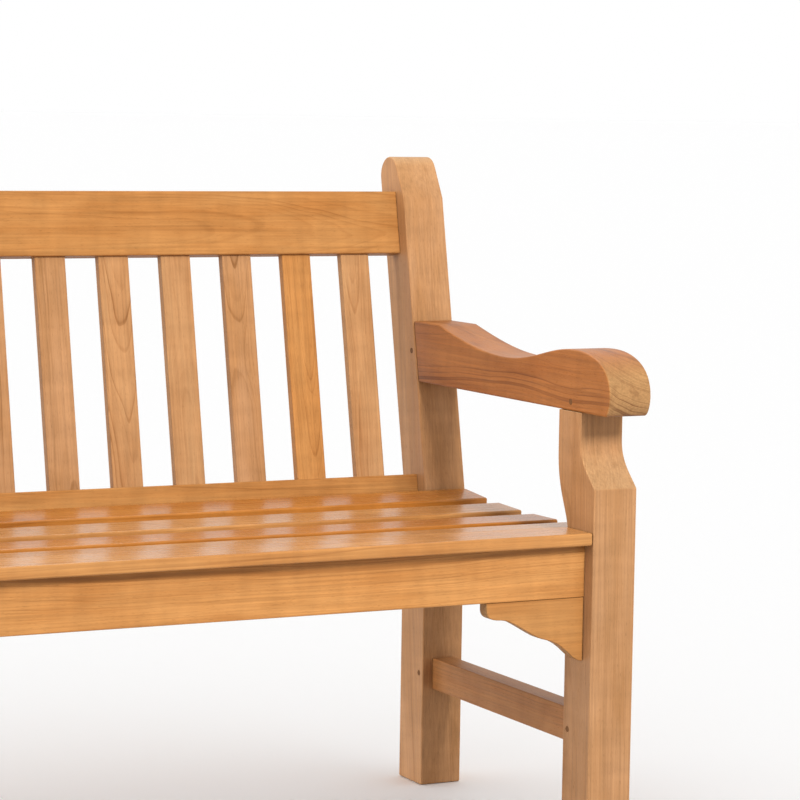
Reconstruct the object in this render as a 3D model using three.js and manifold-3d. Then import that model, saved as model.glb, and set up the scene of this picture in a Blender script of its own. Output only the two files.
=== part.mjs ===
// A three-seat slatted teak garden bench: two side frames with raked rear posts and shaped arms,
// a slatted back between two rails, and a dished slatted seat on rails, all joined by mortise and tenon.
// Millimetres. X runs along the bench, +Y towards the back, +Z up. The origin is on the floor, at the
// middle of the footprint. Inside the groups, Y = 0 is the plane of the front legs and Z = 0 the seat.
import * as THREE from "three";
import { mergeVertices } from "three/addons/utils/BufferGeometryUtils.js";
import Module from "manifold-3d";

const wasm = await Module();
wasm.setup();

// Overall sizes
const benchLength = 1500; // over the outer faces of the legs
const seatHeight = 437; // floor to the top of the front seat slat
const seatDepth = 479.5; // leg fronts to the fronts of the rear posts, at the seat
const backRise = 497.5; // seat to the crown of a rear post, along its rake
const rakeDegrees = 11.4; // lean of the back

// Legs and posts
const legWidth = 65; // legs and posts along the bench
const frontLegDepth = 70; // below the seat
const upperLegSetback = 39.6; // front of the leg above the seat, behind the leg front
const upperLegDepth = 58.4;
const frontRidgeHeight = 57; // where the front face turns in, above the seat
const frontSweepHeight = 118; // where the swept front runs upright again
const frontSweepHold = 28; // how far the front sweep keeps upright at its top
const frontRidgeRise = 22; // how far it rises straight from the ridge
const rearSweepHeight = 100; // where the swept rear leaves the upright
const rearSweepFoot = 8; // how far the rear sweep leans out at its foot
const postDepth = 70; // square to the rake
const crownRadius = 27.5; // rounded post top
const ridgeDrop = 68; // crown down to the ridge on the post front, along the rake

// Arms
const armWidth = 63;
const armUnderside = 155; // above the seat
const armBackThickness = 87.5; // at the rear post
const armFlatEnd = seatDepth - 29.5; // where the level back stretch ends, behind the leg fronts
const armFlatFall = 16; // how steeply the top leaves the level stretch
const armDipAt = 0.532 * seatDepth; // lowest point of the top
const armDipThickness = 57;
const armDipReachBack = 65; // how long the dip stays flat, towards the back and the front
const armDipReachFront = 85;
const armCrestAt = 60; // top of the front swell
const armCrestThickness = 82;
const armCrestReachBack = 75; // how long the crest stays flat, towards the back and the nose
const armCrestReachNose = 42;
const armOverhang = 31.8; // nose in front of the leg fronts
const armNoseHeight = 26; // foremost point of the nose, above the underside
const armNoseTuck = 12.8; // how far the nose rolls back under the arm

// Back rails and slats, in the raked frame
const railSetback = 23.5; // rail fronts behind the post fronts
const railThickness = 28;
const topRailDrop = 54.5; // crown down to the rail top
const topRailHeight = 92;
const lowerRailTop = 25; // above the seat
const lowerRailHeight = 50;
const backSlatCount = 14;
const backSlatWidth = 45;
const backSlatThickness = 14;
const backSlatHousing = 15; // how far a slat end sits in a rail

// Seat
const seatSlatCount = 5;
const seatSlatWidth = 68;
const seatSlatThickness = 17;
const frontSlatSetback = 1; // front slat behind the leg fronts
const dishDepth = 11.5; // hollow of the seat
const dishLowPoint = 0.542 * seatDepth; // its lowest line, behind the leg fronts
const apronSetback = 21;
const apronThickness = 28;
const apronHeight = 70.5;
const rearSeatRailHeight = 48;
const rearSeatRailDrop = 5; // below the lowest corner of the lower back rail
const sideRailThickness = 28;
const bearerThickness = 28;
const bearerHeight = 58;

// Stretchers and brackets
const stretcherThickness = 33;
const stretcherHeight = 46;
const stretcherTop = 188; // above the floor
const bracketLength = 146;
const bracketHeight = 85;
const bracketThickness = 20;

// Joints
const fitGap = 0.3; // at shoulders, tenon cheeks, pegs and resting faces
const mortiseEndGap = 1;
const railTenonLength = 38;
const railTenonThickness = 10;
const sideTenonThickness = 12;
const stretcherTenonLength = 30;
const armTenonLength = 30;
const armTenonHeight = 48;
const legTenonDepth = 38;
const legTenonHeight = 46;
const bearerTenonLength = 14;
const tenonShoulder = 8; // left above and below a tenon
const tenonWall = 6; // wood between tenons that meet inside a leg
const pegDiameter = 8;
const pegLength = 45; // pegs that come in from the side
const pegTip = 7; // how far the pegs that come in from behind pass the tenon
const pegInset = 12; // from the shoulder to the peg centre
const pegStagger = 14; // crossing pegs pass each other, up and down from the rail middle

// Sizes that follow
const rake = THREE.MathUtils.degToRad(rakeDegrees);
const postLevelDepth = postDepth / Math.cos(rake);
const crownCentre = rakedPoint(postDepth - crownRadius, backRise - crownRadius);
const backOfPost = seatDepth + crownCentre.x + crownRadius;
const middleOfDepth = (backOfPost - armOverhang) / 2;
const clearLength = benchLength - 2 * legWidth; // between the side frames
const frameCentre = (benchLength - legWidth) / 2;
const apronTop = -seatSlatThickness - fitGap;
const apronBottom = apronTop - apronHeight;
const apronMiddle = (apronTop + apronBottom) / 2;
const topRailTop = backRise - topRailDrop;
const topRailBottom = topRailTop - topRailHeight;
const lowerRailBottom = lowerRailTop - lowerRailHeight;
const lowerRailLowest = rakedPoint(railSetback + railThickness, lowerRailBottom).y;
const rearSeatRailTop = lowerRailLowest - rearSeatRailDrop;
const rearSeatRailBottom = rearSeatRailTop - rearSeatRailHeight;
const rearSeatRailFront = seatDepth + railSetback;
const apronBack = apronSetback + apronThickness;
const bearerBottom = apronTop - bearerHeight;
const bearerNeckHeight = rearSeatRailTop - bearerBottom; // its rear end runs under the lower back rail
const frontTenonRoom = frontLegDepth - apronBack + (apronThickness - railTenonThickness) / 2;
const rearTenonRoom = railSetback + (railThickness - railTenonThickness) / 2;
const sideTenonLength = Math.min(frontTenonRoom, rearTenonRoom) - tenonWall;
const dishHalfSpan = seatDepth - dishLowPoint;
const dishRadius = (dishHalfSpan ** 2 + dishDepth ** 2) / (2 * dishDepth);
const tiltRoom = (seatSlatThickness * dishHalfSpan) / (2 * dishRadius);
const seatSpan = seatDepth - fitGap - tiltRoom - frontSlatSetback;
const seatSlatPitch = (seatSpan - seatSlatWidth) / (seatSlatCount - 1);
const supportRadius = dishRadius + seatSlatThickness;
const slatBow = supportRadius - Math.sqrt(supportRadius ** 2 - (seatSlatWidth / 2) ** 2);
const bearingRadius = supportRadius + fitGap + slatBow;
const cut = 2; // cutting blocks run this far past a face

// Teak, board by board
function teak(color, roughness = 0.55) {
  return new THREE.MeshStandardMaterial({ color, roughness, metalness: 0 });
}

function solidOf(geometry) {
  const bare = geometry.clone();
  bare.deleteAttribute("normal");
  bare.deleteAttribute("uv");
  const merged = mergeVertices(bare, 1e-4);
  const vertProperties = new Float32Array(merged.attributes.position.array);
  const triVerts = new Uint32Array(merged.index.array);
  return new wasm.Manifold(new wasm.Mesh({ numProp: 3, vertProperties, triVerts }));
}

function geometryOf(solid) {
  const { vertProperties, triVerts } = solid.getMesh();
  const geometry = new THREE.BufferGeometry();
  geometry.setAttribute("position", new THREE.BufferAttribute(new Float32Array(vertProperties), 3));
  geometry.setIndex(new THREE.BufferAttribute(new Uint32Array(triVerts), 1));
  geometry.computeVertexNormals();
  return geometry;
}

function joinAll(body, additions) {
  return geometryOf(additions.reduce((made, extra) => made.add(solidOf(extra)), solidOf(body)));
}

function cutAll(body, cutters) {
  return geometryOf(cutters.reduce((made, cutter) => made.subtract(solidOf(cutter)), solidOf(body)));
}

// A block given by its lowest and highest corners
function block([x0, y0, z0], [x1, y1, z1]) {
  const geometry = new THREE.BoxGeometry(x1 - x0, y1 - y0, z1 - z0);
  return geometry.translate((x0 + x1) / 2, (y0 + y1) / 2, (z0 + z1) / 2);
}

// A point of the raked frame, whose origin is at the seat on the post front, in upright Y and Z
function rakedPoint(y, z) {
  const upright = new THREE.Vector2(y, z);
  return upright.rotateAround(new THREE.Vector2(0, 0), -rake);
}

// A cutting block of the raked frame, moved to where a rear post stands upright
function rakedCutter(geometry) {
  return geometry.rotateX(-rake).translate(0, seatDepth, 0);
}

// Extrudes an outline drawn in Y and Z along X, centred on X = 0
function sideProfile(shape, width) {
  const geometry = new THREE.ExtrudeGeometry(shape, { depth: width, bevelEnabled: false, curveSegments: 16 });
  geometry.translate(0, 0, -width / 2);
  const turn = new THREE.Matrix4().makeBasis(
    new THREE.Vector3(0, 1, 0),
    new THREE.Vector3(0, 0, 1),
    new THREE.Vector3(1, 0, 0),
  );
  return geometry.applyMatrix4(turn);
}

// Pegs and their holes lie along X or Y, from a start point inwards
function pegAlong(axis, start, direction, radius, length) {
  const geometry = new THREE.CylinderGeometry(radius, radius, length, 24);
  if (axis === "x") geometry.rotateZ(Math.PI / 2);
  const middle = new THREE.Vector3(...start);
  middle[axis] += (direction * length) / 2;
  return geometry.translate(middle.x, middle.y, middle.z);
}

function pegHole(axis, start, direction, length = pegLength) {
  const mouth = new THREE.Vector3(...start);
  mouth[axis] -= direction * cut;
  const depth = length + cut + mortiseEndGap;
  return pegAlong(axis, mouth.toArray(), direction, pegDiameter / 2 + fitGap, depth);
}

function handOf(side) {
  return side < 0 ? "left" : "right";
}

function place(group, name, geometry, material) {
  const mesh = new THREE.Mesh(geometry, material);
  mesh.name = name;
  group.add(mesh);
  return mesh;
}

function placePeg(group, name, axis, start, direction, length = pegLength) {
  const geometry = pegAlong(axis, [0, 0, 0], direction, pegDiameter / 2, length);
  const mesh = place(group, name, geometry, teak("#6b4226", 0.7));
  mesh.position.set(...start);
}

// The height of the bearing line under the seat slats, at a distance behind the leg fronts
function bearingLine(y) {
  return dishRadius - dishDepth - Math.sqrt(bearingRadius ** 2 - (y - dishLowPoint) ** 2);
}

function addBearingCurve(shape, from, to) {
  const steps = 24;
  for (let i = 0; i <= steps; i += 1) {
    const y = from + ((to - from) * i) / steps;
    shape.lineTo(y, bearingLine(y));
  }
}

// Where each peg starts on an inner face or a rear face
const innerFace = legWidth / 2;
const stretcherMiddle = stretcherTop - seatHeight - stretcherHeight / 2;
const sideRailMiddle = (apronBottom + bearingLine(dishLowPoint)) / 2;
const armMiddle = armUnderside + armBackThickness / 2;
const postFrontAtArm = seatDepth + Math.tan(rake) * armMiddle;
const upperLegMiddle = upperLegSetback + upperLegDepth / 2;
const sidePegs = {
  stretcher_front: [frontLegDepth - pegInset, stretcherMiddle],
  stretcher_rear: [seatDepth + pegInset, stretcherMiddle],
  side_rail_front: [frontLegDepth - pegInset, sideRailMiddle - pegStagger],
  side_rail_rear: [seatDepth + pegInset, sideRailMiddle],
  arm_rear: [postFrontAtArm + pegInset, armMiddle],
};
const armPeg = [upperLegMiddle, armUnderside + pegInset];
const railPegX = innerFace - pegInset;

// The four rails along the bench. Each is tenoned into a leg or post at both ends, and its pegs come
// in from pegFace, the rear of that leg or post. The two back rails are given in the raked frame.
const apronRail = {
  front: apronSetback,
  thickness: apronThickness,
  bottom: apronBottom,
  top: apronTop,
  pegFace: frontLegDepth,
  pegHeight: apronMiddle + pegStagger,
};
const rearSeatRail = {
  front: rearSeatRailFront,
  thickness: railThickness,
  bottom: rearSeatRailBottom,
  top: rearSeatRailTop,
  pegFace: seatDepth + postLevelDepth,
  pegHeight: (rearSeatRailTop + rearSeatRailBottom) / 2,
};
const topBackRail = {
  front: railSetback,
  thickness: railThickness,
  bottom: topRailBottom,
  top: topRailTop,
  pegFace: postDepth,
  pegHeight: (topRailTop + topRailBottom) / 2,
};
const lowerBackRail = {
  front: railSetback,
  thickness: railThickness,
  bottom: lowerRailBottom,
  top: lowerRailTop,
  pegFace: postDepth,
  pegHeight: (lowerRailTop + lowerRailBottom) / 2,
};

function tenonFrontOf(rail) {
  return rail.front + (rail.thickness - railTenonThickness) / 2;
}

function railPegLength(rail) {
  return rail.pegFace - tenonFrontOf(rail) + pegTip;
}

function railPegHole(rail, x) {
  return pegHole("y", [x, rail.pegFace, rail.pegHeight], -1, railPegLength(rail));
}

function sidePegHole(side, [y, z]) {
  return pegHole("x", [-side * innerFace, y, z], side);
}

// A rail's mortise in the inner face of a leg or post, and the hole for its peg
function railJoint(side, rail) {
  const tenonFront = tenonFrontOf(rail);
  const depth = railTenonLength + mortiseEndGap;
  const mouth = -side * (innerFace + cut);
  const end = -side * (innerFace - depth);
  const mortise = block(
    [Math.min(mouth, end), tenonFront - fitGap, rail.bottom + tenonShoulder - fitGap],
    [Math.max(mouth, end), tenonFront + railTenonThickness + fitGap, rail.top - tenonShoulder + fitGap],
  );
  return [mortise, railPegHole(rail, -side * railPegX)];
}

// A block around a side tenon, from one Y to another, larger all round by a clearance
function sideTenon(from, to, bottom, top, clearance = 0) {
  const half = sideTenonThickness / 2 + clearance;
  return block([-half, from, bottom - clearance], [half, to, top + clearance]);
}

const sideRailTenon = {
  length: sideTenonLength,
  bottom: apronBottom + tenonShoulder,
  top: sideRailMiddle + pegStagger,
};
const stretcherTenon = {
  length: stretcherTenonLength,
  bottom: stretcherMiddle - stretcherHeight / 2 + tenonShoulder,
  top: stretcherMiddle + stretcherHeight / 2 - tenonShoulder,
};
const armTenon = {
  length: armTenonLength,
  bottom: armMiddle - armTenonHeight / 2,
  top: armMiddle + armTenonHeight / 2,
};

// The mortise for a side tenon, in the rear of a front leg or the front of a rear post
function legMortise({ length, bottom, top }) {
  return sideTenon(frontLegDepth - length - mortiseEndGap, frontLegDepth + cut, bottom, top, fitGap);
}

function postMortise({ length, bottom, top }, postFront = seatDepth) {
  return sideTenon(seatDepth - cut, postFront + length + mortiseEndGap, bottom, top, fitGap);
}

function frontLeg(side) {
  const upperRear = upperLegSetback + upperLegDepth;
  const topOfLeg = armUnderside - fitGap;
  const outline = new THREE.Shape();
  outline.moveTo(0, -seatHeight);
  outline.lineTo(frontLegDepth, -seatHeight);
  outline.lineTo(frontLegDepth, 0);
  outline.bezierCurveTo(
    frontLegDepth + rearSweepFoot, rearSweepHeight * 0.3,
    upperRear, rearSweepHeight * 0.48,
    upperRear, rearSweepHeight,
  );
  outline.lineTo(upperRear, topOfLeg);
  outline.lineTo(upperLegSetback, topOfLeg);
  outline.lineTo(upperLegSetback, frontSweepHeight);
  outline.bezierCurveTo(
    upperLegSetback, frontSweepHeight - frontSweepHold,
    upperLegSetback * 0.55, frontRidgeHeight + frontRidgeRise,
    0, frontRidgeHeight,
  );
  outline.closePath();
  const half = legTenonDepth / 2;
  const headTenon = sideTenon(
    upperLegMiddle - half, upperLegMiddle + half,
    topOfLeg - cut, armUnderside + legTenonHeight,
  );
  const leg = joinAll(sideProfile(outline, legWidth), [headTenon]);
  return cutAll(leg, [
    ...railJoint(side, apronRail),
    legMortise(sideRailTenon),
    legMortise(stretcherTenon),
    sidePegHole(side, sidePegs.stretcher_front),
    sidePegHole(side, sidePegs.side_rail_front),
    pegHole("x", [-side * armWidth / 2, ...armPeg], side),
  ]);
}

function rearPost(side) {
  const ridge = rakedPoint(0, backRise - ridgeDrop);
  const toCrown = crownCentre.clone().sub(ridge);
  const facetAngle = toCrown.angle() + Math.asin(crownRadius / toCrown.length());
  const outline = new THREE.Shape();
  outline.moveTo(0, -seatHeight);
  outline.lineTo(postLevelDepth, -seatHeight);
  outline.lineTo(postLevelDepth, 0);
  outline.absarc(crownCentre.x, crownCentre.y, crownRadius, -rake, facetAngle + Math.PI / 2, false);
  outline.lineTo(ridge.x, ridge.y);
  outline.lineTo(0, 0);
  outline.closePath();
  const post = sideProfile(outline, legWidth).translate(0, seatDepth, 0);
  return cutAll(post, [
    ...railJoint(side, topBackRail).map(rakedCutter),
    ...railJoint(side, lowerBackRail).map(rakedCutter),
    ...railJoint(side, rearSeatRail),
    postMortise(sideRailTenon),
    postMortise(stretcherTenon),
    postMortise(armTenon, postFrontAtArm),
    sidePegHole(side, sidePegs.stretcher_rear),
    sidePegHole(side, sidePegs.side_rail_rear),
    sidePegHole(side, sidePegs.arm_rear),
  ]);
}

function arm(side) {
  const lean = Math.tan(rake);
  const backTop = armUnderside + armBackThickness;
  const dipTop = armUnderside + armDipThickness;
  const crestTop = armUnderside + armCrestThickness;
  const gap = fitGap / Math.cos(rake);
  const nose = -armOverhang;
  const noseLine = armUnderside + armNoseHeight;
  const underNose = nose + armNoseTuck;
  const outline = new THREE.Shape();
  outline.moveTo(underNose, armUnderside);
  outline.lineTo(seatDepth + lean * armUnderside - gap, armUnderside);
  outline.lineTo(seatDepth + lean * backTop - gap, backTop);
  outline.lineTo(armFlatEnd, backTop);
  outline.bezierCurveTo(
    armFlatEnd - armDipReachBack, backTop - armFlatFall,
    armDipAt + armDipReachBack, dipTop,
    armDipAt, dipTop,
  );
  outline.bezierCurveTo(
    armDipAt - armDipReachFront, dipTop,
    armCrestAt + armCrestReachBack, crestTop,
    armCrestAt, crestTop,
  );
  outline.bezierCurveTo(
    armCrestAt - armCrestReachNose, crestTop,
    nose, crestTop - armNoseTuck,
    nose, noseLine,
  );
  outline.bezierCurveTo(
    nose, noseLine - armNoseHeight / 2,
    underNose - armNoseTuck / 2, armUnderside,
    underNose, armUnderside,
  );
  const tenon = sideTenon(
    postFrontAtArm - armTenonLength, postFrontAtArm + armTenonLength,
    armTenon.bottom, armTenon.top,
  );
  const half = legTenonDepth / 2;
  const body = joinAll(sideProfile(outline, armWidth), [tenon]);
  return cutAll(body, [
    sideTenon(
      upperLegMiddle - half, upperLegMiddle + half,
      armUnderside - cut, armUnderside + legTenonHeight + mortiseEndGap, fitGap,
    ),
    pegHole("x", [-side * armWidth / 2, ...armPeg], side),
    sidePegHole(side, sidePegs.arm_rear),
  ]);
}

function sideSeatRail(side) {
  const front = frontLegDepth + fitGap;
  const rear = seatDepth - fitGap;
  const outline = new THREE.Shape();
  outline.moveTo(front, apronBottom);
  addBearingCurve(outline, front, rear);
  outline.lineTo(rear, apronBottom);
  outline.closePath();
  const { bottom, top } = sideRailTenon;
  const body = joinAll(sideProfile(outline, sideRailThickness), [
    sideTenon(frontLegDepth - sideTenonLength, front + cut, bottom, top),
    sideTenon(rear - cut, seatDepth + sideTenonLength, bottom, top),
  ]);
  return cutAll(body, [
    sidePegHole(side, sidePegs.side_rail_front),
    sidePegHole(side, sidePegs.side_rail_rear),
  ]);
}

function sideStretcher(side) {
  const half = stretcherThickness / 2;
  const front = frontLegDepth + fitGap;
  const rear = seatDepth - fitGap;
  const low = stretcherMiddle - stretcherHeight / 2;
  const high = stretcherMiddle + stretcherHeight / 2;
  const { bottom, top } = stretcherTenon;
  const body = joinAll(block([-half, front, low], [half, rear, high]), [
    sideTenon(frontLegDepth - stretcherTenonLength, front + cut, bottom, top),
    sideTenon(rear - cut, seatDepth + stretcherTenonLength, bottom, top),
  ]);
  return cutAll(body, [
    sidePegHole(side, sidePegs.stretcher_front),
    sidePegHole(side, sidePegs.stretcher_rear),
  ]);
}

// A rail along the bench with a tenon at each end and a peg hole through each tenon, and with the
// mortises that it carries itself
function longRail(rail, mortises) {
  const half = clearLength / 2 - fitGap;
  const end = clearLength / 2 + railTenonLength;
  const tenonFront = tenonFrontOf(rail);
  const board = block([-half, rail.front, rail.bottom], [half, rail.front + rail.thickness, rail.top]);
  const tenon = block(
    [-end, tenonFront, rail.bottom + tenonShoulder],
    [end, tenonFront + railTenonThickness, rail.top - tenonShoulder],
  );
  const holes = [-1, 1].map((side) => railPegHole(rail, side * (frameCentre - railPegX)));
  return cutAll(joinAll(board, [tenon]), [...holes, ...mortises]);
}

function placeRailPegs(group, name, rail) {
  for (const side of [-1, 1]) {
    const start = [side * (frameCentre - railPegX), rail.pegFace, rail.pegHeight];
    placePeg(group, `peg_${name}_${handOf(side)}`, "y", start, -1, railPegLength(rail));
  }
}

// The back slats divide the clear length with equal gaps
const backSlatGap = (clearLength - backSlatCount * backSlatWidth) / (backSlatCount + 1);
const backSlatPlaces = Array.from(
  { length: backSlatCount },
  (_, i) => -clearLength / 2 + backSlatGap + backSlatWidth / 2 + i * (backSlatWidth + backSlatGap),
);
const backSlatFront = railSetback + (railThickness - backSlatThickness) / 2;

function slatHousings(from, to) {
  const half = backSlatWidth / 2 + fitGap;
  return backSlatPlaces.map((x) => block(
    [x - half, backSlatFront - fitGap, from],
    [x + half, backSlatFront + backSlatThickness + fitGap, to],
  ));
}

// A bracket drawn in shares of its length and height, from the leg out to its tip under the apron
function bracketOutline() {
  const outline = new THREE.Shape();
  const curve = (x1, z1, x2, z2, x3, z3) => outline.bezierCurveTo(
    x1 * bracketLength, -z1 * bracketHeight,
    x2 * bracketLength, -z2 * bracketHeight,
    x3 * bracketLength, -z3 * bracketHeight,
  );
  outline.moveTo(0, 0);
  outline.lineTo(0, -bracketHeight);
  curve(0.06, 1, 0.1, 0.94, 0.145, 0.87);
  curve(0.3, 0.61, 0.4, 0.65, 0.48, 0.575);
  curve(0.66, 0.41, 0.74, 0.29, 0.85, 0.275);
  curve(0.945, 0.27, 1, 0.235, 1, 0.105);
  outline.lineTo(bracketLength, 0);
  outline.closePath();
  return outline;
}

const bench = new THREE.Group();
bench.position.set(0, -middleOfDepth, seatHeight);

for (const side of [-1, 1]) {
  const hand = handOf(side);
  const frame = new THREE.Group();
  frame.position.x = side * frameCentre;
  bench.add(frame);
  place(frame, `front_leg_${hand}`, frontLeg(side), teak("#d8a578"));
  place(frame, `rear_post_${hand}`, rearPost(side), teak("#d5a173"));
  place(frame, `arm_${hand}`, arm(side), teak("#c98a55"));
  place(frame, `side_seat_rail_${hand}`, sideSeatRail(side), teak("#c4894f"));
  place(frame, `side_stretcher_${hand}`, sideStretcher(side), teak("#c08a58"));
  for (const [joint, start] of Object.entries(sidePegs)) {
    placePeg(frame, `peg_${joint}_${hand}`, "x", [-side * innerFace, ...start], side);
  }
  placePeg(frame, `peg_arm_front_${hand}`, "x", [-side * armWidth / 2, ...armPeg], side);
}

const seat = new THREE.Group();
bench.add(seat);

// A block around a tenon of the middle bearer; both tenons share one height
function bearerTenon(from, to, clearance = 0) {
  const half = railTenonThickness / 2 + clearance;
  const bottom = bearerBottom + tenonShoulder - clearance;
  const top = bearerBottom + bearerNeckHeight - tenonShoulder + clearance;
  return block([-half, from, bottom], [half, to, top]);
}

const bearerSocket = bearerTenonLength + mortiseEndGap;
place(seat, "apron", longRail(apronRail, [
  bearerTenon(apronBack - bearerSocket, apronBack + cut, fitGap),
]), teak("#d19a5b"));
place(seat, "rear_seat_rail", longRail(rearSeatRail, [
  bearerTenon(rearSeatRailFront - cut, rearSeatRailFront + bearerSocket, fitGap),
]), teak("#bf8650"));
placeRailPegs(seat, "apron", apronRail);
placeRailPegs(seat, "rear_seat_rail", rearSeatRail);

function middleBearer() {
  const front = apronBack + fitGap;
  const dishStart = frontLegDepth + fitGap;
  const neckStart = seatDepth;
  const rear = rearSeatRailFront - fitGap;
  const neckTop = bearerBottom + bearerNeckHeight;
  const outline = new THREE.Shape();
  outline.moveTo(front, bearerBottom);
  outline.lineTo(front, apronTop);
  outline.lineTo(dishStart, apronTop);
  addBearingCurve(outline, dishStart, neckStart);
  outline.lineTo(neckStart, neckTop);
  outline.lineTo(rear, neckTop);
  outline.lineTo(rear, bearerBottom);
  outline.closePath();
  return joinAll(sideProfile(outline, bearerThickness), [
    bearerTenon(apronBack - bearerTenonLength, front + cut),
    bearerTenon(rear - cut, rearSeatRailFront + bearerTenonLength),
  ]);
}
place(seat, "middle_bearer", middleBearer(), teak("#b98452"));

// The front slat lies level between the legs; the others lie across the side rails, tangent to the dish
const frontSlat = place(
  seat,
  "seat_slat_1",
  new THREE.BoxGeometry(clearLength - 2 * fitGap, seatSlatWidth, seatSlatThickness),
  teak("#cf9558", 0.45),
);
frontSlat.position.set(0, frontSlatSetback + seatSlatWidth / 2, -seatSlatThickness / 2);

for (let i = 1; i < seatSlatCount; i += 1) {
  const y = frontSlatSetback + seatSlatWidth / 2 + i * seatSlatPitch;
  const reach = dishRadius + seatSlatThickness / 2;
  const lean = Math.asin((y - dishLowPoint) / reach);
  const slat = place(
    seat,
    `seat_slat_${i + 1}`,
    new THREE.BoxGeometry(benchLength, seatSlatWidth, seatSlatThickness),
    teak("#cd9862", 0.45),
  );
  slat.position.set(0, y, dishRadius - dishDepth - Math.cos(lean) * reach);
  slat.rotation.x = lean;
}

for (const side of [-1, 1]) {
  const geometry = new THREE.ExtrudeGeometry(bracketOutline(), {
    depth: bracketThickness,
    bevelEnabled: false,
    curveSegments: 10,
  });
  const bracket = place(seat, `bracket_${handOf(side)}`, geometry, teak("#c68d53"));
  bracket.rotation.set(Math.PI / 2, side > 0 ? Math.PI : 0, 0);
  bracket.position.set(
    side * (clearLength / 2 - fitGap),
    apronSetback + (side > 0 ? 0 : bracketThickness),
    apronBottom - fitGap,
  );
}

const back = new THREE.Group();
back.position.y = seatDepth;
back.rotation.x = -rake;
bench.add(back);

const upperHousings = slatHousings(topRailBottom - cut, topRailBottom + backSlatHousing + mortiseEndGap);
const lowerHousings = slatHousings(lowerRailTop - backSlatHousing - mortiseEndGap, lowerRailTop + cut);
place(back, "top_back_rail", longRail(topBackRail, upperHousings), teak("#d39a58"));
place(back, "lower_back_rail", longRail(lowerBackRail, lowerHousings), teak("#cc9152"));
placeRailPegs(back, "top_rail", topBackRail);
placeRailPegs(back, "lower_rail", lowerBackRail);

const backSlatLength = topRailBottom - lowerRailTop + 2 * backSlatHousing;
const backSlatTones = ["#c98f5c", "#d09a66", "#c4854f", "#cf9560", "#c78a58"];
backSlatPlaces.forEach((x, i) => {
  const slat = place(
    back,
    `back_slat_${String(i + 1).padStart(2, "0")}`,
    new THREE.BoxGeometry(backSlatWidth, backSlatThickness, backSlatLength),
    teak(backSlatTones[i % backSlatTones.length]),
  );
  slat.position.set(x, backSlatFront + backSlatThickness / 2, (topRailBottom + lowerRailTop) / 2);
});

export default bench;
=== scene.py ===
import math
import random

import bmesh
import bpy
from mathutils import Euler, Matrix, Vector


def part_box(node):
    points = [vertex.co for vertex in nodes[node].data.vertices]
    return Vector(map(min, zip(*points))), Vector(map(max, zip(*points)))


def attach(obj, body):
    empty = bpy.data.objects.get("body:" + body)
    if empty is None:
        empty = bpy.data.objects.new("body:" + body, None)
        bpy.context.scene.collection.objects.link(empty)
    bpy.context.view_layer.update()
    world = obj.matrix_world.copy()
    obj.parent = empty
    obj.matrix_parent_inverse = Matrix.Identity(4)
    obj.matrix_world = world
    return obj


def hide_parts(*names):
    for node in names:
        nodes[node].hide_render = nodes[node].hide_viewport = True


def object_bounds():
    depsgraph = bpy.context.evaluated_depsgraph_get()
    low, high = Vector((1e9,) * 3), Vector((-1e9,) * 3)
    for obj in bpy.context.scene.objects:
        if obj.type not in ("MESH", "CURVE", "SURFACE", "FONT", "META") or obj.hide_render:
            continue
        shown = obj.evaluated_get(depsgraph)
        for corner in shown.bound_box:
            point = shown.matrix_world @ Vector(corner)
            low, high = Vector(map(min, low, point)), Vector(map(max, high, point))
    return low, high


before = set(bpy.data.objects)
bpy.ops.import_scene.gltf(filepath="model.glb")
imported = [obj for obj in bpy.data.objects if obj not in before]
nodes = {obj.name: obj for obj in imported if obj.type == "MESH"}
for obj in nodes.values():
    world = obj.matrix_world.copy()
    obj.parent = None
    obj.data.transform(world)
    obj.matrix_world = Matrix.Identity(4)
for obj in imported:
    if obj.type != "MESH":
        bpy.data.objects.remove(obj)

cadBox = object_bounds()
cadLow, cadHigh = cadBox
hands = ("left", "right")
print("stage: frame loaded,", len(nodes), "pieces of joinery")

# how far the back leans, read from the broad face of a back slat
broadFace = max(nodes["back_slat_01"].data.polygons, key=lambda face: face.area)
backLean = math.asin(abs(broadFace.normal.z))
print("stage: the back leans", round(math.degrees(backLean), 2), "degrees")


# small helpers for building node trees

def putNode(tree, kind, sockets=None, **settings):
    node = tree.nodes.new(kind)
    for name, value in settings.items():
        setattr(node, name, value)
    for socket, value in (sockets or {}).items():
        if isinstance(value, bpy.types.NodeSocket):
            tree.links.new(value, node.inputs[socket])
        else:
            node.inputs[socket].default_value = value
    return node


def sums(tree, operation, *values):
    sockets = dict(enumerate(values))
    return putNode(tree, "ShaderNodeMath", sockets, operation=operation).outputs[0]


def vectorSums(tree, operation, *values):
    sockets = dict(enumerate(values))
    return putNode(tree, "ShaderNodeVectorMath", sockets, operation=operation).outputs[0]


def spread(tree, value, fromLow, fromHigh, toLow, toHigh):
    sockets = {0: value, 1: fromLow, 2: fromHigh, 3: toLow, 4: toHigh}
    return putNode(tree, "ShaderNodeMapRange", sockets, clamp=True).outputs[0]


def blendColours(tree, amount, first, second, how="MIX"):
    node = tree.nodes.new("ShaderNodeMix")
    node.data_type, node.blend_type = "RGBA", how
    for socket, value in ((0, amount), (6, first), (7, second)):
        if isinstance(value, bpy.types.NodeSocket):
            tree.links.new(value, node.inputs[socket])
        else:
            node.inputs[socket].default_value = value
    return node.outputs[2]


# grain noise: stretched along the board by giving each direction its own frequency, per metre
def grainNoise(tree, place, shift, often, detail=1.0, roughness=0.5):
    along, across = often
    scaled = vectorSums(tree, "MULTIPLY", place, (along, across, across))
    moved = vectorSums(tree, "ADD", scaled, shift)
    sockets = {"Vector": moved, "Scale": 1.0, "Detail": detail, "Roughness": roughness}
    return putNode(tree, "ShaderNodeTexNoise", sockets)


# the wood itself: growth rings round a pith, seen wherever a face cuts them

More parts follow.
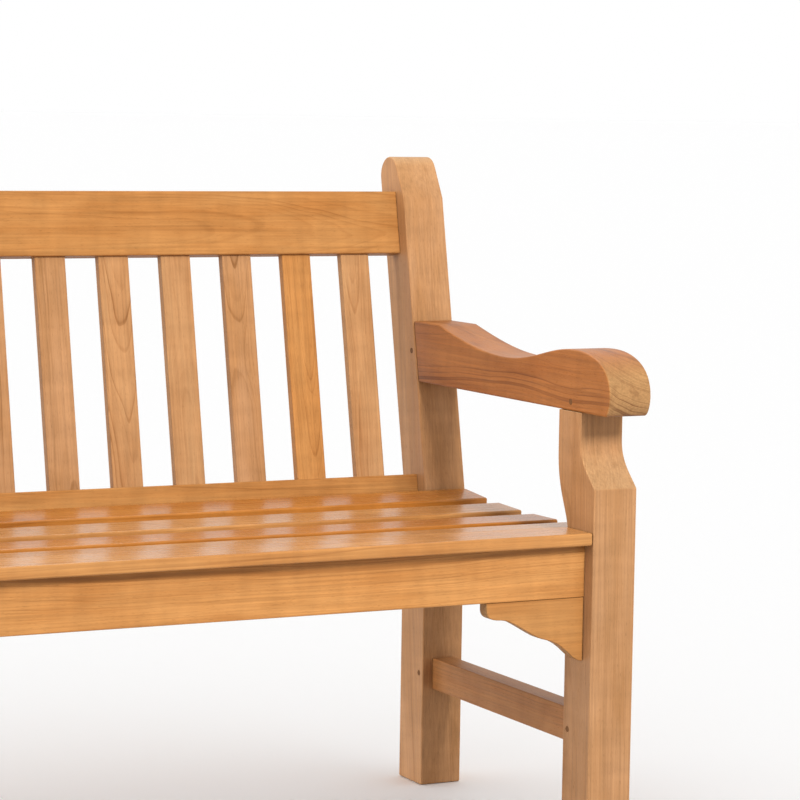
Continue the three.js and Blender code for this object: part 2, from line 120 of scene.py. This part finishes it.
figureSockets = (
    ("Place", "NodeSocketVector"), ("Grain axis", "NodeSocketVector"), ("Pith", "NodeSocketVector"),
    ("Drift", "NodeSocketVector"), ("Seed", "NodeSocketFloat"), ("Rings", "NodeSocketFloat"),
    ("Flow", "NodeSocketFloat"), ("Sway", "NodeSocketFloat"), ("Line strength", "NodeSocketFloat"),
    ("Mottle", "NodeSocketFloat"), ("Streaks", "NodeSocketFloat"), ("Polish", "NodeSocketFloat"),
    ("Pale", "NodeSocketColor"), ("Warm", "NodeSocketColor"), ("Line", "NodeSocketColor"),
    ("End", "NodeSocketColor"),
)
figureResults = (
    ("Colour", "NodeSocketColor"), ("Dullness", "NodeSocketFloat"), ("Relief", "NodeSocketFloat"),
)


# noise is given as how often it repeats per metre, (along the grain, across it);
# a band is the stretch of the noise that fades a feature in
figure = {
    "seedStep": (1.73, 3.19, 5.37), "swayNoise": (1.0, 6.0), "waverNoise": (11.0, 40.0), "waverReach": 0.0045,
    "yearNoise": 70.0, "yearPush": 3.4,
    "ring": ((0.40, 0.10), (0.70, 0.36), (0.86, 1.0), (0.93, 0.85)),  # (place within a ring, darkness)
    "faintestRing": 0.12, "ringContrast": 1.8,
    "fadeNoise": (4.0, 18.0), "fadeBand": (0.36, 0.62), "fadedRing": 0.35,
    "endBand": (0.22, 0.85), "endTint": 0.75,
    "endRings": 2.3, "endRingBand": (0.45, 0.95), "endRingDepth": 0.32,
    "mottleNoise": (5.0, 22.0), "mottleBand": (0.34, 0.66),
    "streakNoise": (2.4, 75.0), "streakBand": (0.56, 0.74), "streakDepth": 0.6,
    "fibreNoise": (5.0, 330.0), "threadNoise": (16.0, 1500.0), "fibreBand": (0.25, 0.75),
    "silkNoise": (48.0, 14.0), "silkBand": (0.3, 0.7),
    "poreNoise": (150.0, 1500.0), "poreBand": (0.68, 0.78), "poresInRing": 0.35, "ringFull": 0.6,
    "fibreLight": (0.85, 1.12), "threadLight": (0.95, 1.05), "silkLight": (0.94, 1.055), "poreLight": 0.8,
    "fibreDullness": (-0.035, 0.045), "endDullness": 0.12, "poreDullness": 0.16,
    "ringRelief": 0.5, "fibreRelief": 0.55, "poreRelief": 0.8,
}


def makeFigureGroup():
    tree = bpy.data.node_groups.new("teakFigure", "ShaderNodeTree")
    for name, kind in figureSockets:
        tree.interface.new_socket(name, in_out="INPUT", socket_type=kind)
    for name, kind in figureResults:
        tree.interface.new_socket(name, in_out="OUTPUT", socket_type=kind)
    given = tree.nodes.new("NodeGroupInput").outputs
    place = given["Place"]
    shift = vectorSums(tree, "MULTIPLY", given["Seed"], figure["seedStep"])
    split = putNode(tree, "ShaderNodeSeparateXYZ", {0: place})

    # a slow sway and a finer waver move the rings off true, to both sides of it alike
    noiseMiddle = (0.5, 0.5, 0.5)
    along, across = figure["swayNoise"]
    swayPlace = vectorSums(tree, "MULTIPLY", place, (along, across, across))
    flowing = putNode(tree, "ShaderNodeCombineXYZ", {0: given["Flow"], 1: 1.0, 2: 1.0}).outputs[0]
    swayPlace = vectorSums(tree, "ADD", vectorSums(tree, "MULTIPLY", swayPlace, flowing), shift)
    slow = putNode(tree, "ShaderNodeTexNoise", {"Vector": swayPlace, "Scale": 1.0, "Detail": 1.0})
    fine = grainNoise(tree, place, shift, figure["waverNoise"])
    slowBend = vectorSums(tree, "SUBTRACT", slow.outputs["Color"], noiseMiddle)
    swaying = {0: 0.0, 1: given["Sway"], 2: given["Sway"]}
    swaying = putNode(tree, "ShaderNodeCombineXYZ", swaying).outputs[0]
    slowBend = vectorSums(tree, "MULTIPLY", slowBend, swaying)
    fineBend = vectorSums(tree, "SUBTRACT", fine.outputs["Color"], noiseMiddle)
    fineBend = vectorSums(tree, "MULTIPLY", fineBend, (0.0, figure["waverReach"], figure["waverReach"]))
    bent = vectorSums(tree, "ADD", place, vectorSums(tree, "ADD", slowBend, fineBend))
    drifted = vectorSums(tree, "MULTIPLY", given["Drift"], split.outputs["X"])
    fromPith = vectorSums(tree, "SUBTRACT", vectorSums(tree, "SUBTRACT", bent, given["Pith"]), drifted)
    flat = vectorSums(tree, "MULTIPLY", fromPith, (0.0, 1.0, 1.0))
    radius = putNode(tree, "ShaderNodeVectorMath", {0: flat}, operation="LENGTH").outputs["Value"]

    # good and lean years: the ring width wanders with the radius
    calendar = sums(tree, "ADD", sums(tree, "MULTIPLY", radius, figure["yearNoise"]), given["Seed"])
    sockets = {"W": calendar, "Scale": 1.0, "Detail": 1.0}
    years = putNode(tree, "ShaderNodeTexNoise", sockets, noise_dimensions="1D")
    yearPush = sums(tree, "MULTIPLY", years.outputs["Fac"], figure["yearPush"])
    rings = sums(tree, "MULTIPLY_ADD", radius, given["Rings"], yearPush)
    withinRing = sums(tree, "FRACT", rings)
    ringNumber = sums(tree, "ADD", sums(tree, "FLOOR", rings), given["Seed"])
    ringMark = putNode(tree, "ShaderNodeTexWhiteNoise", {"W": ringNumber}, noise_dimensions="1D")
    profile = putNode(tree, "ShaderNodeValToRGB", {0: withinRing})
    ramp = profile.color_ramp
    ramp.interpolation = "EASE"
    ramp.elements[0].position, ramp.elements[0].color = 0.0, (0.0, 0.0, 0.0, 1.0)
    ramp.elements[1].position, ramp.elements[1].color = 1.0, (0.0, 0.0, 0.0, 1.0)
    for position, grey in figure["ring"]:
        ramp.elements.new(position).color = (grey, grey, grey, 1.0)
    fade = grainNoise(tree, place, shift, figure["fadeNoise"], detail=2.0).outputs["Fac"]
    fade = spread(tree, fade, *figure["fadeBand"], figure["fadedRing"], 1.0)
    faintest = figure["faintestRing"]
    boldness = sums(tree, "POWER", ringMark.outputs["Value"], figure["ringContrast"])
    boldness = sums(tree, "MULTIPLY_ADD", boldness, 1.0 - faintest, faintest)
    strength = sums(tree, "MULTIPLY", boldness, fade)
    lateWood = sums(tree, "MULTIPLY", profile.outputs["Color"], strength)

    # end grain: where a face is square to the grain the rings read harder
    normal = putNode(tree, "ShaderNodeNewGeometry").outputs["Normal"]
    both = {0: normal, 1: given["Grain axis"]}
    facing = putNode(tree, "ShaderNodeVectorMath", both, operation="DOT_PRODUCT").outputs["Value"]
    endness = spread(tree, sums(tree, "ABSOLUTE", facing), *figure["endBand"], 0.0, 1.0)
    endRings = sums(tree, "FRACT", sums(tree, "MULTIPLY", rings, figure["endRings"]))
    endLines = spread(tree, endRings, *figure["endRingBand"], 0.0, figure["endRingDepth"])
    endLines = sums(tree, "MULTIPLY", endLines, endness)

    # the ground goes from pale to warm in clouds, with a few darker streaks along the grain
    mottle = grainNoise(tree, place, shift, figure["mottleNoise"], detail=3.0, roughness=0.6).outputs["Fac"]
    mottled = sums(tree, "MULTIPLY", spread(tree, mottle, *figure["mottleBand"], 0.0, 1.0), given["Mottle"])
    ground = blendColours(tree, mottled, given["Pale"], given["Warm"])
    ground = blendColours(tree, sums(tree, "MULTIPLY", endness, figure["endTint"]), ground, given["End"])
    streak = grainNoise(tree, place, shift, figure["streakNoise"], detail=2.0).outputs["Fac"]
    streaked = sums(tree, "MULTIPLY", spread(tree, streak, *figure["streakBand"], 0.0, 1.0), given["Streaks"])
    streaked = sums(tree, "MULTIPLY", streaked, figure["streakDepth"])
    ground = blendColours(tree, streaked, ground, given["Line"])
    lineAmount = sums(tree, "MULTIPLY", lateWood, given["Line strength"])
    lineAmount = sums(tree, "MAXIMUM", lineAmount, endLines)
    colour = blendColours(tree, lineAmount, ground, given["Line"])

    # fibres, silky cross figure and short fine pores
    fibre = grainNoise(tree, place, shift, figure["fibreNoise"], detail=2.0).outputs["Fac"]
    thread = grainNoise(tree, place, shift, figure["threadNoise"]).outputs["Fac"]
    silk = grainNoise(tree, place, shift, figure["silkNoise"], detail=1.5).outputs["Fac"]
    pore = grainNoise(tree, place, shift, figure["poreNoise"], detail=0.0).outputs["Fac"]
    poreRoom = spread(tree, lateWood, 0.0, figure["ringFull"], 1.0, figure["poresInRing"])
    pores = sums(tree, "MULTIPLY", spread(tree, pore, *figure["poreBand"], 0.0, 1.0), poreRoom)
    fibreLight = spread(tree, fibre, *figure["fibreBand"], *figure["fibreLight"])
    threadLight = spread(tree, thread, *figure["fibreBand"], *figure["threadLight"])
    silkLight = spread(tree, silk, *figure["silkBand"], *figure["silkLight"])
    poreLight = spread(tree, pores, 0.0, 1.0, 1.0, figure["poreLight"])
    light = sums(tree, "MULTIPLY", fibreLight, threadLight)
    light = sums(tree, "MULTIPLY", light, silkLight)
    light = sums(tree, "MULTIPLY", light, poreLight)
    shade = putNode(tree, "ShaderNodeCombineColor", {0: light, 1: light, 2: light}).outputs[0]
    colour = blendColours(tree, 1.0, colour, shade, "MULTIPLY")

    fibreDullness = spread(tree, fibre, *figure["fibreBand"], *figure["fibreDullness"])
    dullness = sums(tree, "ADD", given["Polish"], fibreDullness)
    dullness = sums(tree, "MULTIPLY_ADD", endness, figure["endDullness"], dullness)
    dullness = sums(tree, "MULTIPLY_ADD", pores, figure["poreDullness"], dullness)
    relief = sums(tree, "MULTIPLY", fibre, figure["fibreRelief"])
    relief = sums(tree, "MULTIPLY_ADD", lateWood, figure["ringRelief"], relief)
    relief = sums(tree, "MULTIPLY_ADD", pores, -figure["poreRelief"], relief)
    outlet = tree.nodes.new("NodeGroupOutput")
    for name, socket in (("Colour", colour), ("Dullness", dullness), ("Relief", relief)):
        tree.links.new(socket, outlet.inputs[name])
    return tree


figureGroup = makeFigureGroup()
print("stage: figure of the wood")

# the tones that boards of one batch show: the pale ground, its warm clouds and the ring lines
tones = {
    "golden": {"Pale": (0.331, 0.117, 0.019), "Warm": (0.261, 0.078, 0.009), "Line": (0.130, 0.030, 0.003)},
    "honey": {"Pale": (0.356, 0.156, 0.045), "Warm": (0.287, 0.108, 0.025), "Line": (0.139, 0.040, 0.006)},
    "straw": {"Pale": (0.353, 0.179, 0.073), "Warm": (0.285, 0.127, 0.046), "Line": (0.139, 0.046, 0.010)},
    "tan": {"Pale": (0.322, 0.159, 0.068), "Warm": (0.270, 0.122, 0.043), "Line": (0.147, 0.053, 0.013)},
    "blush": {"Pale": (0.313, 0.137, 0.048), "Warm": (0.252, 0.096, 0.027), "Line": (0.113, 0.033, 0.007)},
    "russet": {"Pale": (0.281, 0.103, 0.028), "Warm": (0.222, 0.069, 0.015), "Line": (0.070, 0.016, 0.004)},
}
endTone = (0.278, 0.146, 0.051)

# how a board was sawn says where the pith lies from its middle: (across, through), in metres
sawnPith = {"flat": (0.007, 0.028), "quarter": (0.13, 0.02), "rift": (0.07, 0.06)}

# how far one board may differ from the next, as (least, most)
chance = {
    "pith": (0.75, 1.35), "lightness": (0.97, 1.03), "rings": (0.85, 1.2), "seed": (1, 60),
    "driftAcross": (-0.02, 0.02), "driftThrough": (0.02, 0.06),
}

# the oil on the wood; sheen and bump hold for boards that don't give their own
oil = {"ior": 1.47, "shine": (1.0, 0.82, 0.6, 1.0), "sheen": 0.36, "bump": 0.22, "bumpDepth": 0.0006}


def tinted(colour, factor):
    return tuple(min(1.0, part * factor) for part in colour) + (1.0,)


def teak(name, node, axes, look, dice):
    material = bpy.data.materials.new(name)
    material.use_nodes = True
    tree = material.node_tree
    shader = tree.nodes["Principled BSDF"]
    low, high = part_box(node)
    spots = putNode(tree, "ShaderNodeTexCoord").outputs["Object"]
    mapping = putNode(tree, "ShaderNodeMapping", {"Vector": spots}, vector_type="TEXTURE")
    mapping.inputs["Location"].default_value = (Vector(low) + Vector(high)) / 2
    mapping.inputs["Rotation"].default_value = axes.to_euler("XYZ")
    across, through = (size * dice.uniform(*chance["pith"]) for size in sawnPith[look["sawn"]])
    tone = tones[look["tone"]]
    factor = look.get("lightness", 1.0) * dice.uniform(*chance["lightness"])
    pith = (0.0, dice.choice((-1, 1)) * across, dice.choice((-1, 1)) * through)
    driftAcross = dice.uniform(*chance["driftAcross"])
    driftThrough = dice.choice((-1, 1)) * dice.uniform(*chance["driftThrough"])
    values = {
        "Grain axis": axes @ Vector((1, 0, 0)),
        "Pith": pith,
        "Drift": (0.0, driftAcross, driftThrough),
        "Seed": dice.uniform(*chance["seed"]),
        "Rings": look["rings"] * dice.uniform(*chance["rings"]),
        "Flow": look["flow"],
        "Sway": look["sway"],
        "Line strength": look["lines"],
        "Mottle": look["mottle"],
        "Streaks": look["streaks"],
        "Polish": look["polish"],
        "Pale": tinted(tone["Pale"], factor),
        "Warm": tinted(tone["Warm"], factor),
        "Line": tinted(tone["Line"], factor),
        "End": tinted(look.get("end", endTone), factor),
    }
    wood = putNode(tree, "ShaderNodeGroup", node_tree=figureGroup)
    for socket, value in values.items():
        wood.inputs[socket].default_value = value
    tree.links.new(mapping.outputs[0], wood.inputs["Place"])
    bump = putNode(tree, "ShaderNodeBump", {"Height": wood.outputs["Relief"]})
    bump.inputs["Strength"].default_value = look.get("bump", oil["bump"])
    bump.inputs["Distance"].default_value = oil["bumpDepth"]
    tree.links.new(wood.outputs["Colour"], shader.inputs["Base Color"])
    tree.links.new(wood.outputs["Dullness"], shader.inputs["Roughness"])
    tree.links.new(bump.outputs[0], shader.inputs["Normal"])
    shader.inputs["IOR"].default_value = oil["ior"]
    shader.inputs["Specular IOR Level"].default_value = look.get("sheen", oil["sheen"])
    shader.inputs["Specular Tint"].default_value = oil["shine"]
    return material


# boards: the joinery's own solids with their long arrises eased by hand plane and paper

dressing = {
    "weld": 1e-5, "flatWithin": math.radians(0.15), "crispFrom": math.radians(32), "squareEnd": 0.96,
    "fenceRoom": 0.009, "steps": 4,
}


# edges sorted into sets that hang together
def joinedSets(edges):
    home = {}

    def root(vertex):
        while home.setdefault(vertex, vertex) is not vertex:
            vertex = home[vertex]
        return vertex

    for edge in edges:
        first, second = (root(vertex) for vertex in edge.verts)
        if first is not second:
            home[first] = second
    sets = {}
    for edge in edges:
        sets.setdefault(root(edge.verts[0]), []).append(edge)
    return list(sets.values())


# how far a set of edges stretches along x, y and z together
def reach(edges):
    spots = [vertex.co for edge in edges for vertex in edge.verts]
    return sum(max(spot[i] for spot in spots) - min(spot[i] for spot in spots) for i in range(3))


def overlapping(first, second):
    (lowA, highA), (lowB, highB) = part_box(first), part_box(second)
    return all(lowA[i] < highB[i] and lowB[i] < highA[i] for i in range(3))


# cross cuts either side of each peg keep the flat faces round its hole small, so that they ease cleanly
def fenceOffPegs(form, node, grain):
    for name in pegNames:
        if not overlapping(name, node):
            continue
        low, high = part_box(name)
        middle = (Vector(low) + Vector(high)) / 2
        for step in (-dressing["fenceRoom"], dressing["fenceRoom"]):
            plane = {"plane_co": middle + grain * step, "plane_no": grain}
            cut = bmesh.ops.bisect_plane(form, geom=form.verts[:] + form.edges[:] + form.faces[:], **plane)
            for part in cut["geom_cut"]:
                if isinstance(part, bmesh.types.BMEdge):
                    part.seam = True


# the joinery's solid as a dressed board; count gives each board of a kind its own figure
def makeBoard(node, axes, look, count=0):
    dice = random.Random(look["seed"] + count)
    grain = axes @ Vector((1, 0, 0))
    form = bmesh.new()
    form.from_mesh(nodes[node].data)
    bmesh.ops.remove_doubles(form, verts=form.verts, dist=dressing["weld"])
    if look.get("fenced", False):
        fenceOffPegs(form, node, grain)
    flats = {"angle_limit": dressing["flatWithin"], "verts": form.verts[:], "edges": form.edges[:]}
    bmesh.ops.dissolve_limit(form, delimit={"SEAM"}, **flats)
    form.normal_update()
    weights = form.edges.layers.float.new("bevel_weight_edge")
    convex = [edge for edge in form.edges if len(edge.link_faces) == 2 and edge.is_convex]
    crisp = [edge for edge in convex if edge.calc_face_angle() > dressing["crispFrom"]]
    arrises = max(joinedSets(crisp), key=reach)  # the board's outline, not its mortises and peg holes
    ease, endEase = look["ease"], look["endEase"]
    for edge in arrises:
        ends = max(abs(face.normal.dot(grain)) for face in edge.link_faces)
        shoulder = ends > dressing["squareEnd"] and look.get("shoulders", True)
        edge[weights] = endEase / ease if shoulder else 1.0
    for face in form.faces:
        face.smooth = True
    for edge in form.edges:
        edge.smooth = edge.calc_face_angle(0.0) < dressing["crispFrom"]
    mesh = bpy.data.meshes.new("dressed_" + node)
    form.to_mesh(mesh)
    form.free()
    board = bpy.data.objects.new("dressed_" + node, mesh)
    bpy.context.collection.objects.link(board)
    rounding = board.modifiers.new("eased arrises", "BEVEL")
    rounding.limit_method = "WEIGHT"
    rounding.width = ease
    rounding.segments = dressing["steps"]
    rounding.use_clamp_overlap = False
    rounding.harden_normals = True
    board.data.materials.append(teak("teak_" + node, node, axes, look, dice))
    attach(board, "root")
    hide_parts(node)
    boards.append(board)


boards = []
pegNames = sorted(name for name in nodes if name.startswith("peg_"))


# how a board lies: the way its grain runs, then the way its width runs
def lies(grain, width, lean=0.0):
    grain, width = Vector(grain), Vector(width)
    columns = Matrix((grain, width, grain.cross(width))).transposed()
    return Matrix.Rotation(-lean, 3, "X") @ columns


alongX, alongY, upright = (1, 0, 0), (0, 1, 0), (0, 0, 1)

frontLegs = {
    "tone": "tan", "sawn": "quarter", "rings": 260, "flow": 2.0, "sway": 0.02, "lines": 0.55,
    "mottle": 0.8, "streaks": 0.4, "polish": 0.46, "fenced": True, "end": (0.35, 0.195, 0.085),
    "ease": 0.0022, "endEase": 0.0008, "slot": "leg_teak", "seed": 11,
}
for count, hand in enumerate(hands):
    makeBoard("front_leg_" + hand, lies(upright, alongX), frontLegs, count)

rearPosts = {
    "tone": "tan", "sawn": "quarter", "rings": 260, "flow": 1.6, "sway": 0.02, "lines": 0.5,
    "mottle": 0.8, "streaks": 0.3, "polish": 0.46, "fenced": True, "end": (0.36, 0.2, 0.088),
    "ease": 0.0022, "endEase": 0.0022, "slot": "leg_teak", "lightness": 1.08, "seed": 31,
    "leanShare": 0.6,  # the grain runs between the upright foot and the raked top
}
postLies = lies(upright, alongX, backLean * rearPosts["leanShare"])
for count, hand in enumerate(hands):
    makeBoard("rear_post_" + hand, postLies, rearPosts, count)
print("stage: legs and posts")

arms = {
    "tone": "russet", "sawn": "rift", "rings": 165, "flow": 3.2, "sway": 0.034, "lines": 0.75,
    "mottle": 0.8, "streaks": 0.5, "polish": 0.42, "sheen": 0.28, "fenced": True,
    "ease": 0.0028, "endEase": 0.0028, "shoulders": False, "end": (0.275, 0.155, 0.062),
    "slot": "arm_teak", "seed": 51,
}
for count, hand in enumerate(hands):
    makeBoard("arm_" + hand, lies(alongY, upright), arms, count)
print("stage: arms")

topRail = {
    "tone": "honey", "sawn": "flat", "rings": 280, "flow": 1.5, "sway": 0.035, "lines": 0.8,
    "mottle": 0.9, "streaks": 0.35, "polish": 0.5, "sheen": 0.24, "lightness": 1.02,
    "ease": 0.0022, "endEase": 0.0005, "slot": "rail_teak", "seed": 71,
}
lowerRail = dict(topRail, sawn="rift", seed=72)
raked = lies(alongX, upright, backLean)
makeBoard("top_back_rail", raked, topRail)
makeBoard("lower_back_rail", raked, lowerRail)

apron = {
    "tone": "honey", "sawn": "rift", "rings": 230, "flow": 1.5, "sway": 0.03, "lines": 0.7,
    "mottle": 0.8, "streaks": 0.35, "polish": 0.42, "lightness": 1.12,
    "ease": 0.0018, "endEase": 0.0005, "slot": "rail_teak", "seed": 81,
}
for count, node in enumerate(("apron", "rear_seat_rail")):
    makeBoard(node, lies(alongX, upright), apron, count)

underFrame = {
    "tone": "blush", "sawn": "rift", "rings": 210, "flow": 2.5, "sway": 0.025, "lines": 0.6,
    "mottle": 0.8, "streaks": 0.5, "polish": 0.48,
    "ease": 0.0016, "endEase": 0.0005, "slot": "rail_teak", "seed": 91, "bearerSeed": 97,
}
sidePieces = [kind + hand for kind in ("side_seat_rail_", "side_stretcher_") for hand in hands]
for count, node in enumerate(sidePieces):
    makeBoard(node, lies(alongY, upright), underFrame, count)
bearer = dict(underFrame, seed=underFrame["bearerSeed"])
makeBoard("middle_bearer", lies(alongY, upright), bearer)

brackets = {
    "tone": "honey", "sawn": "flat", "rings": 260, "flow": 4.0, "sway": 0.02, "lines": 0.4,
    "mottle": 0.8, "streaks": 0.2, "polish": 0.42,
    "ease": 0.0016, "endEase": 0.0016, "shoulders": False, "slot": "rail_teak", "seed": 101,
}
for count, hand in enumerate(hands):
    makeBoard("bracket_" + hand, lies(alongX, upright), brackets, count)
print("stage: rails, stretchers and brackets")

backSlats = {
    "sawn": "flat", "rings": 400, "flow": 3.2, "sway": 0.03, "lines": 1.0, "mottle": 0.9, "streaks": 0.25,
    "polish": 0.5, "sheen": 0.26, "lightness": 1.07,
    "ease": 0.0016, "endEase": 0.0004, "slot": "back_slat_teak", "seed": 121,
    "tones": (
        "honey", "tan", "straw", "blush", "honey", "straw", "honey",
        "tan", "tan", "straw", "straw", "tan", "honey", "straw",
    ),
}
slatNames = sorted(name for name in nodes if name.startswith("back_slat_"))
for count, name in enumerate(slatNames):
    look = dict(backSlats, tone=backSlats["tones"][count % len(backSlats["tones"])])
    makeBoard(name, lies(upright, alongX, backLean), look, count)
print("stage: back slats")

seatSlats = {
    "sawn": "rift", "rings": 230, "flow": 1.5, "sway": 0.03, "lines": 0.65, "mottle": 0.8, "streaks": 0.3,
    "polish": 0.27, "bump": 0.14, "sheen": 0.5,
    "ease": 0.003, "endEase": 0.0025, "slot": "seat_slat_teak", "seed": 151,
    "tones": ("honey", "honey", "golden", "honey", "golden"),
}
seatNames = sorted(name for name in nodes if name.startswith("seat_slat_"))
for count, name in enumerate(seatNames):
    look = dict(seatSlats, tone=seatSlats["tones"][count % len(seatSlats["tones"])])
    makeBoard(name, lies(alongX, alongY), look, count)
print("stage: seat slats")

pegs = {
    "tone": "russet", "sawn": "flat", "rings": 900, "flow": 4.0, "sway": 0.01, "lines": 0.8,
    "mottle": 0.6, "streaks": 0.5, "polish": 0.55, "lightness": 0.65, "end": (0.19, 0.085, 0.032),
    "ease": 0.0005, "endEase": 0.0005, "shoulders": False, "slot": "peg_wood", "seed": 171,
}
for count, name in enumerate(pegNames):
    low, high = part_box(name)
    fromTheSide = high[0] - low[0] > high[1] - low[1]
    makeBoard(name, lies(alongX, alongY) if fromTheSide else lies(alongY, alongX), pegs, count)
print("stage: pegs,", len(pegNames))


# floor, light and camera

floor = {
    "halfSide": 400.0, "belowFeet": 0.0006,
    "colour": (0.995, 0.995, 0.995, 1.0), "roughness": 0.9, "sheen": 0.1,
}


def makeFloor():
    mesh = bpy.data.meshes.new("floor")
    side, level = floor["halfSide"], -floor["belowFeet"]
    corners = [(x * side, y * side, level) for x, y in ((-1, -1), (1, -1), (1, 1), (-1, 1))]
    mesh.from_pydata(corners, [], [(0, 1, 2, 3)])
    board = bpy.data.objects.new("floor", mesh)
    bpy.context.collection.objects.link(board)
    material = bpy.data.materials.new("paleFloor")
    material.use_nodes = True
    shader = material.node_tree.nodes["Principled BSDF"]
    shader.inputs["Base Color"].default_value = floor["colour"]
    shader.inputs["Roughness"].default_value = floor["roughness"]
    shader.inputs["Specular IOR Level"].default_value = floor["sheen"]
    mesh.materials.append(material)


makeFloor()

studio = {
    "surround": 1.0,
    "boxTint": (0.93, 1.0, 1.1),
    "seenInGloss": ("overhead",),  # the others would flash white on the seat in a low side view
    "boxes": {
        # name: (place, aim, width, height, watts)
        "overhead": ((0.0, 1.5, 3.4), (0.0, 0.0, 0.5), 2.8, 1.8, 58),
        "front": ((0.75, -3.8, 2.75), (0.2, 0.0, 0.5), 1.0, 0.8, 262),
        "left": ((-7.0, 0.3, 1.0), (0.2, 0.0, 0.5), 3.2, 2.4, 760),
        "right": ((7.0, 0.3, 1.4), (-0.2, 0.0, 0.5), 3.2, 2.4, 350),
    },
}


def makeLights():
    benchOnly = bpy.data.collections.new("litByTheBoxes")  # the surround alone lights the floor
    for board in boards:
        benchOnly.objects.link(board)
    world = bpy.data.worlds.new("surround")
    bpy.context.scene.world = world
    world.use_nodes = True
    sky = world.node_tree.nodes["Background"]
    sky.inputs["Color"].default_value = (1.0, 1.0, 1.0, 1.0)
    sky.inputs["Strength"].default_value = studio["surround"]
    for name, (place, aim, width, height, watts) in studio["boxes"].items():
        lamp = bpy.data.lights.new(name, "AREA")
        lamp.color = studio["boxTint"]
        lamp.shape, lamp.size, lamp.size_y, lamp.energy = "RECTANGLE", width, height, watts
        box = bpy.data.objects.new(name, lamp)
        bpy.context.collection.objects.link(box)
        box.location = place
        box.light_linking.receiver_collection = benchOnly
        box.visible_glossy = name in studio["seenInGloss"]
        box.rotation_euler = (Vector(aim) - Vector(place)).to_track_quat("-Z", "Y").to_euler()
    bpy.context.scene.view_settings.view_transform = "Standard"


makeLights()

camera = {
    "azimuth": -26.98, "elevation": 5.535, "roll": 0.903, "lens": 134.53,
    "distance": 3.774, "aimFromRightEnd": 0.3532, "aimFromFront": 0.0318, "aimHeight": 0.6214,
    "filmWidth": 36.0, "nearest": 0.05, "farthest": 900.0,
}


def makeCamera():
    turn, rise = math.radians(-camera["azimuth"]), math.radians(camera["elevation"])
    ahead = Vector((math.sin(turn) * math.cos(rise), math.cos(turn) * math.cos(rise), -math.sin(rise)))
    aimX = cadHigh[0] - camera["aimFromRightEnd"]
    aimY = cadLow[1] + camera["aimFromFront"]
    data = bpy.data.cameras.new("camera")
    data.lens, data.sensor_width = camera["lens"], camera["filmWidth"]
    data.clip_start, data.clip_end = camera["nearest"], camera["farthest"]
    eye = bpy.data.objects.new("camera", data)
    bpy.context.collection.objects.link(eye)
    level = ahead.to_track_quat("-Z", "Y").to_matrix()
    roll = Euler((0, 0, math.radians(camera["roll"]))).to_matrix()
    eye.rotation_euler = (level @ roll).to_euler()
    eye.location = Vector((aimX, aimY, camera["aimHeight"])) - ahead * camera["distance"]
    bpy.context.scene.camera = eye


makeCamera()
print("stage: floor, light and camera")
